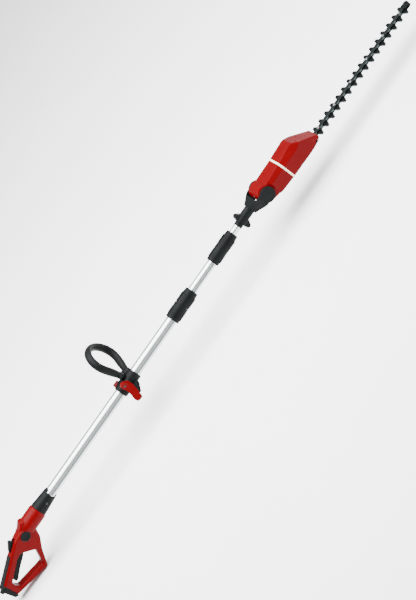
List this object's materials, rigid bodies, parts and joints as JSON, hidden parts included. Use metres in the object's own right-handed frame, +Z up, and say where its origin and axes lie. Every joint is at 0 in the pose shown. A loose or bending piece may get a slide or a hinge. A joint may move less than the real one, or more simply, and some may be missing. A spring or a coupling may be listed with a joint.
{
  "type": "pole hedge trimmer",
  "caption": "Long-reach hedge trimmer: rear D-handle, telescopic tube with twist-lock sleeves, loop front handle on a clamp, and a tilting motor head with a double-sided blade.",
  "frame": {"origin": "middle of the whole tool seen from above, at the height of the D-handle's lowest corner", "axes": "+X forward along the pole towards the blade, +Z up, +Y to the user's left"},
  "size_m": [2.0549, 0.163, 0.2582],
  "materials": {
    "red_plastic": "satin moulded",
    "black_plastic": "fine textured",
    "black_rubber": "soft matt",
    "aluminium": "drawn, anodised",
    "steel": "bright",
    "motor_steel": "plain",
    "cast_aluminium": "die cast",
    "pale_plastic": "satin",
    "blade_steel": "dark, phosphated",
    "bar_steel": "ground"
  },
  "bodies": {
    "rear_handle": {"handle_shell_right": "red_plastic", "handle_shell_left": "red_plastic", "soft_grip": "black_rubber", "end_cap": "black_plastic", "inlet_gland": "black_rubber", "pole_bolt": "steel", "round_caps": "black_plastic", "handle_screws": "steel", "trigger_spring": "steel", "lock_off_spring": "steel", "switch": "black_plastic", "front_collar": "black_plastic", "collar_screw": "steel", "rear_tube": "aluminium", "coiled_lead": "black_rubber", "sleeve_1_base": "black_plastic", "sleeve_1_collet": "pale_plastic"},
    "trigger": {"trigger": "black_plastic"},
    "lock_off": {"lock_off_button": "black_plastic"},
    "nut_1": {"sleeve_1_nut": "black_plastic"},
    "middle_pole": {"middle_tube": "aluminium", "middle_tube_plug": "black_plastic", "sleeve_2_base": "black_plastic", "sleeve_2_collet": "pale_plastic"},
    "nut_2": {"sleeve_2_nut": "black_plastic"},
    "front_pole": {"front_tube": "aluminium", "front_tube_plug": "black_plastic", "neck": "black_plastic", "head_lead": "black_rubber", "fork_right": "black_plastic", "fork_left": "black_plastic", "fork_screws": "steel", "pivot_pin": "steel", "latch_spring": "steel"},
    "latch": {"release_collar": "black_plastic", "latch_plunger": "steel"},
    "clamp": {"clamp_body": "black_plastic", "clamp_jaw": "red_plastic", "clamp_bolt": "steel", "loop_bolt": "steel"},
    "clamp_lever": {"clamp_lever": "red_plastic"},
    "loop": {"loop_handle": "black_rubber"},
    "head": {"head_shell_right": "red_plastic", "head_shell_left": "red_plastic", "head_screws": "steel", "trim_ring": "pale_plastic", "tilt_sector": "steel", "motor_can": "motor_steel", "motor_bearings": "steel", "gear_shaft": "steel", "gear_bracket": "cast_aluminium", "gear_base": "cast_aluminium", "guide_bar": "bar_steel", "guide_screws": "steel", "tip_guard": "black_plastic"},
    "rotor": {"motor_shaft": "motor_steel"},
    "crown": {"crown_gear": "motor_steel"},
    "upper_blade": {"upper_blade": "blade_steel"},
    "lower_blade": {"lower_blade": "blade_steel"}
  },
  "joints": [
    {"name": "trigger_pull", "type": "hinge", "parent": "rear_handle", "child": "trigger", "pos_m": [-0.902, -0.022, 0.1025], "axis": [0, 1, 0], "range_deg": [0, 4.1], "stiffness_Nm_per_rad": 6, "springref_deg": -2.86, "deforming": ["trigger_spring"]},
    {"name": "lock_off_push", "type": "slide", "parent": "rear_handle", "child": "lock_off", "axis": [0.9135, 0, 0.4067], "range_m": [0, 0.006], "stiffness_N_per_m": 400, "springref_m": -0.004, "deforming": ["lock_off_spring"]},
    {"name": "nut_1_turn", "type": "hinge", "parent": "rear_handle", "child": "nut_1", "pos_m": [-0.034, -0.022, 0.125], "axis": [1, 0, 0], "range_deg": [0, 90]},
    {"name": "middle_tube_slide", "type": "slide", "parent": "rear_handle", "child": "middle_pole", "axis": [1, 0, 0], "range_m": [-0.09, 0.2]},
    {"name": "nut_2_turn", "type": "hinge", "parent": "middle_pole", "child": "nut_2", "pos_m": [0.166, -0.022, 0.125], "axis": [1, 0, 0], "range_deg": [0, 90]},
    {"name": "front_tube_slide", "type": "slide", "parent": "middle_pole", "child": "front_pole", "axis": [1, 0, 0], "range_m": [-0.016, 0.15]},
    {"name": "latch_pull", "type": "slide", "parent": "front_pole", "child": "latch", "axis": [-1, 0, 0], "range_m": [0, 0.01], "stiffness_N_per_m": 800, "springref_m": -0.008, "deforming": ["latch_spring"]},
    {"name": "head_tilt", "type": "hinge", "parent": "front_pole", "child": "head", "pos_m": [0.339, -0.022, 0.125], "axis": [0, 1, 0], "range_deg": [-15, 75]},
    {"name": "clamp_slide", "type": "slide", "parent": "rear_handle", "child": "clamp", "axis": [1, 0, 0], "range_m": [-0.33, 0.17]},
    {"name": "lever_turn", "type": "hinge", "parent": "clamp", "child": "clamp_lever", "pos_m": [-0.338, -0.046, 0.1455], "axis": [0, 1, 0], "range_deg": [0, 85]},
    {"name": "loop_tilt", "type": "hinge", "parent": "clamp", "child": "loop", "pos_m": [-0.3115, -0.00789, 0.14442], "axis": [0.5, 0.7006, -0.509], "range_deg": [-35, 45]},
    {"name": "crown_spin", "type": "hinge", "parent": "head", "child": "crown", "pos_m": [0.489, -0.022, 0.105], "axis": [0, 0, 1], "continuous": true},
    {"name": "rotor_spin", "type": "hinge", "parent": "head", "child": "rotor", "pos_m": [0.436, -0.022, 0.119], "axis": [1, 0, 0], "continuous": true},
    {"name": "upper_stroke", "type": "slide", "parent": "head", "child": "upper_blade", "axis": [1, 0, 0], "range_m": [-0.0065, 0.0065]},
    {"name": "lower_stroke", "type": "slide", "parent": "head", "child": "lower_blade", "axis": [1, 0, 0], "range_m": [-0.0065, 0.0065]}
  ],
  "couplings": [
    {"joint": "rotor_spin", "follows": "crown_spin", "ratio": -4},
    {"joint": "lower_stroke", "follows": "upper_stroke", "ratio": -1}
  ]
}
